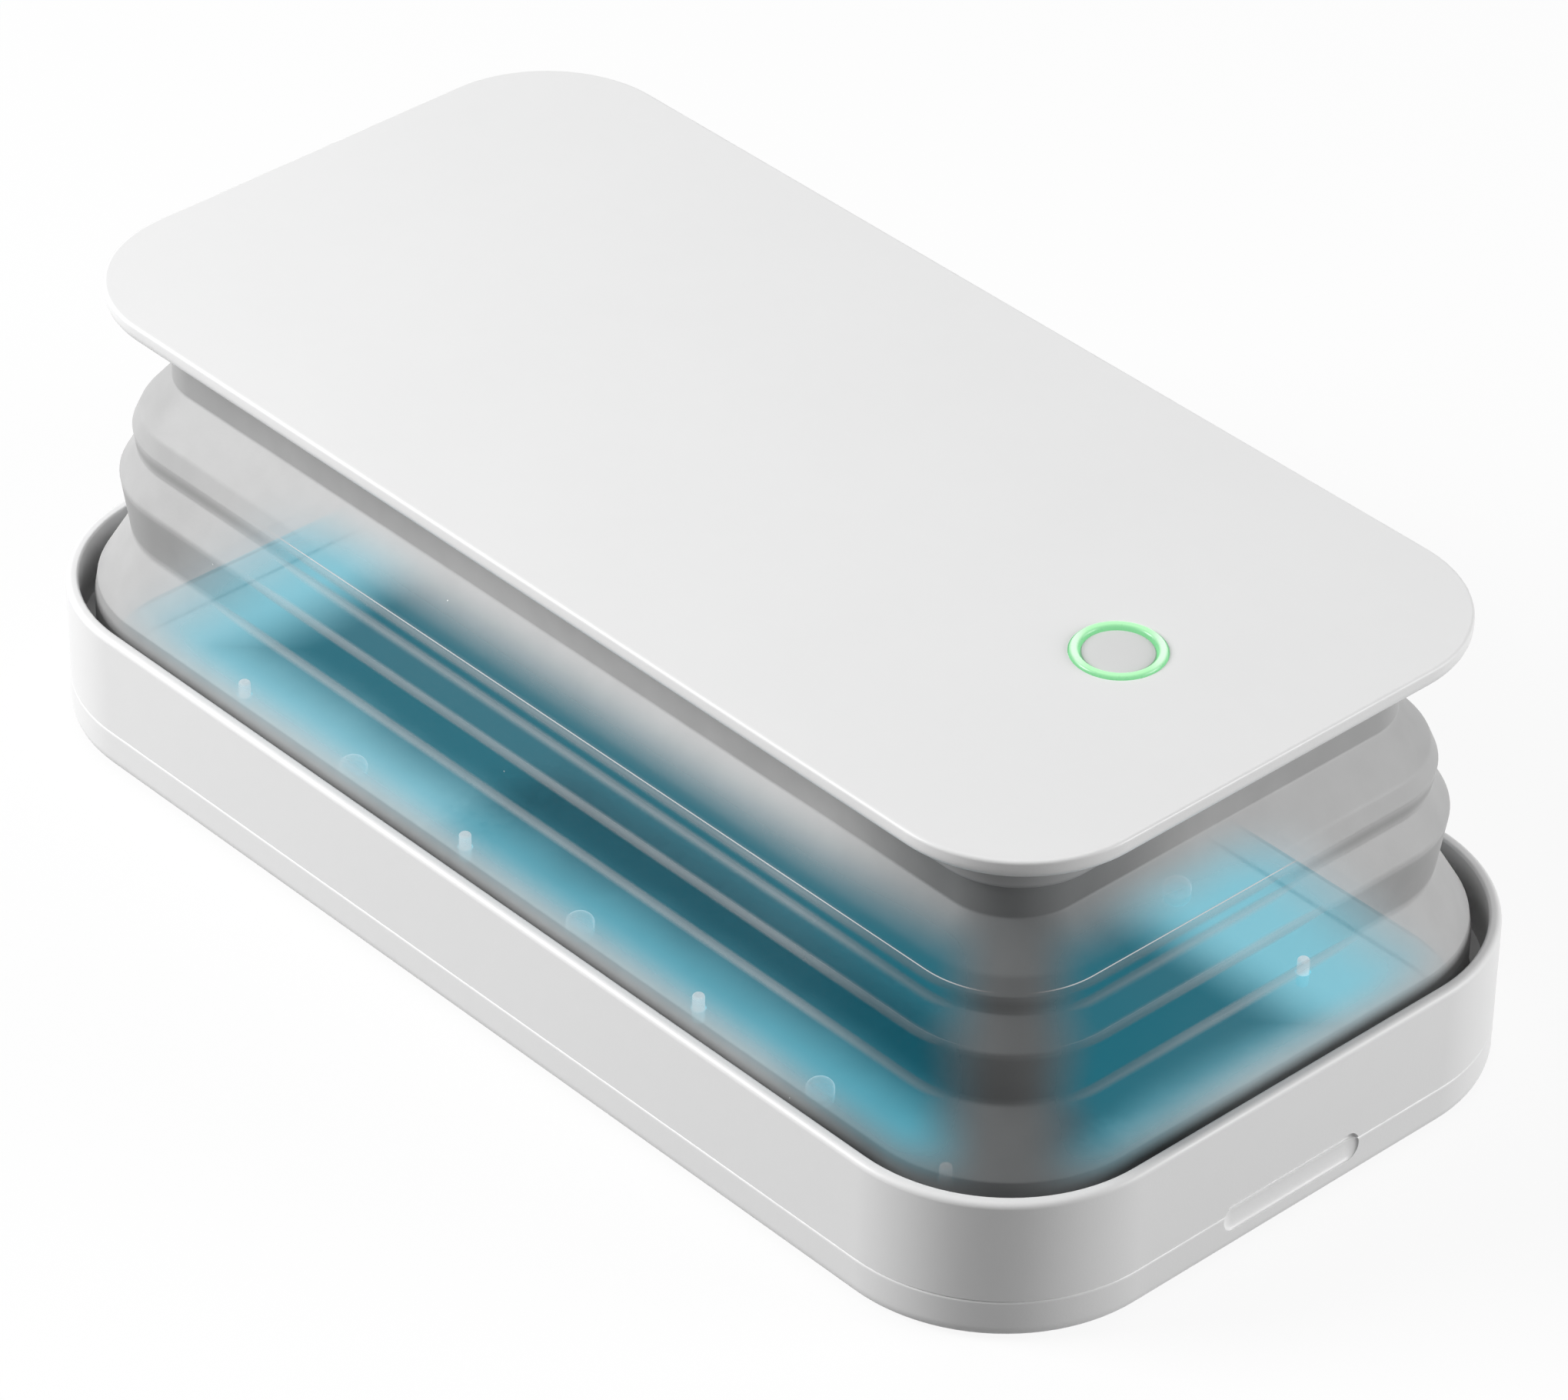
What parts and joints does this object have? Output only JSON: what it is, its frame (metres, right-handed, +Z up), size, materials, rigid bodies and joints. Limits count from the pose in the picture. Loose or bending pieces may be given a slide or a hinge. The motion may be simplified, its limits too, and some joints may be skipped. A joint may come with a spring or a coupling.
{
  "type": "uv sanitizer box for phones",
  "caption": "Collapsible UV sanitizer box for a phone: hinged cover with silicone bellows and flat lamp lid on a shallow mirror tray, with a lit push button.",
  "frame": {"origin": "middle of the object's bounding box, at the plane under the rubber feet", "axes": "+Z up, +X towards the short end with the finger notch and the button, hinge at the -X end"},
  "size_m": [0.1897, 0.0988, 0.0655],
  "materials": {
    "white_plastic": "fine satin moulding, white",
    "inner_plastic": "satin, white",
    "silicone": "translucent grey silicone, soft sheen",
    "foot_rubber": "matt grey",
    "mirror": "metallised, polished",
    "steel": "plated",
    "clear_plastic": "clear",
    "light_guide": "frosted light guide, lit green",
    "circuit_board": "green solder mask",
    "battery_foil": "foil pouch",
    "black_plastic": "matt black",
    "lamp_ceramic": "ceramic body with a clear lens"
  },
  "bodies": {
    "tray": {"bottom_shell": "white_plastic", "mirror_tray": "mirror", "hinge_pin": "steel", "clear_bumper_1": "clear_plastic", "clear_bumper_2": "clear_plastic", "clear_bumper_3": "clear_plastic", "clear_bumper_4": "clear_plastic", "clear_bumper_5": "clear_plastic", "clear_bumper_6": "clear_plastic", "rubber_foot_1": "foot_rubber", "rubber_foot_2": "foot_rubber", "rubber_foot_3": "foot_rubber", "rubber_foot_4": "foot_rubber", "tray_screw_1": "steel", "tray_screw_2": "steel", "tray_screw_3": "steel", "tray_screw_4": "steel", "tray_magnet_left": "steel", "tray_magnet_right": "steel"},
    "cover": {"rim_frame": "white_plastic", "lower_clamp_frame": "inner_plastic", "bellows": "silicone", "cover_magnet_left": "steel", "cover_magnet_right": "steel"},
    "lid": {"lid_plate": "white_plastic", "lid_carrier": "inner_plastic", "upper_clamp_frame": "inner_plastic", "light_ring": "light_guide", "main_board": "circuit_board", "tact_switch": "black_plastic", "uv_led_board": "circuit_board", "battery": "battery_foil", "charge_board": "circuit_board", "usb_socket": "steel", "uv_led_1": "lamp_ceramic", "uv_led_2": "lamp_ceramic", "uv_led_3": "lamp_ceramic", "uv_led_4": "lamp_ceramic", "lid_screw_1": "steel", "lid_screw_2": "steel", "lid_screw_3": "steel", "lid_screw_4": "steel", "lid_screw_5": "steel", "lid_screw_6": "steel", "clamp_screw_1": "steel", "clamp_screw_2": "steel", "clamp_screw_3": "steel", "clamp_screw_4": "steel", "clamp_screw_5": "steel", "clamp_screw_6": "steel", "clamp_screw_7": "steel", "clamp_screw_8": "steel"},
    "button": {"button_cap": "white_plastic"}
  },
  "joints": [
    {"name": "cover_hinge", "type": "hinge", "parent": "tray", "child": "cover", "pos_m": [-0.0927, 0, 0.006], "axis": [0, -1, 0], "range_deg": [0, 95]},
    {"name": "lid_collapse", "type": "slide", "parent": "cover", "child": "lid", "axis": [0, 0, -1], "range_m": [0, 0.041], "deforming": ["bellows"]},
    {"name": "button_press", "type": "slide", "parent": "lid", "child": "button", "axis": [0, 0, -1], "range_m": [0, 0.0006], "stiffness_N_per_m": 1500}
  ]
}
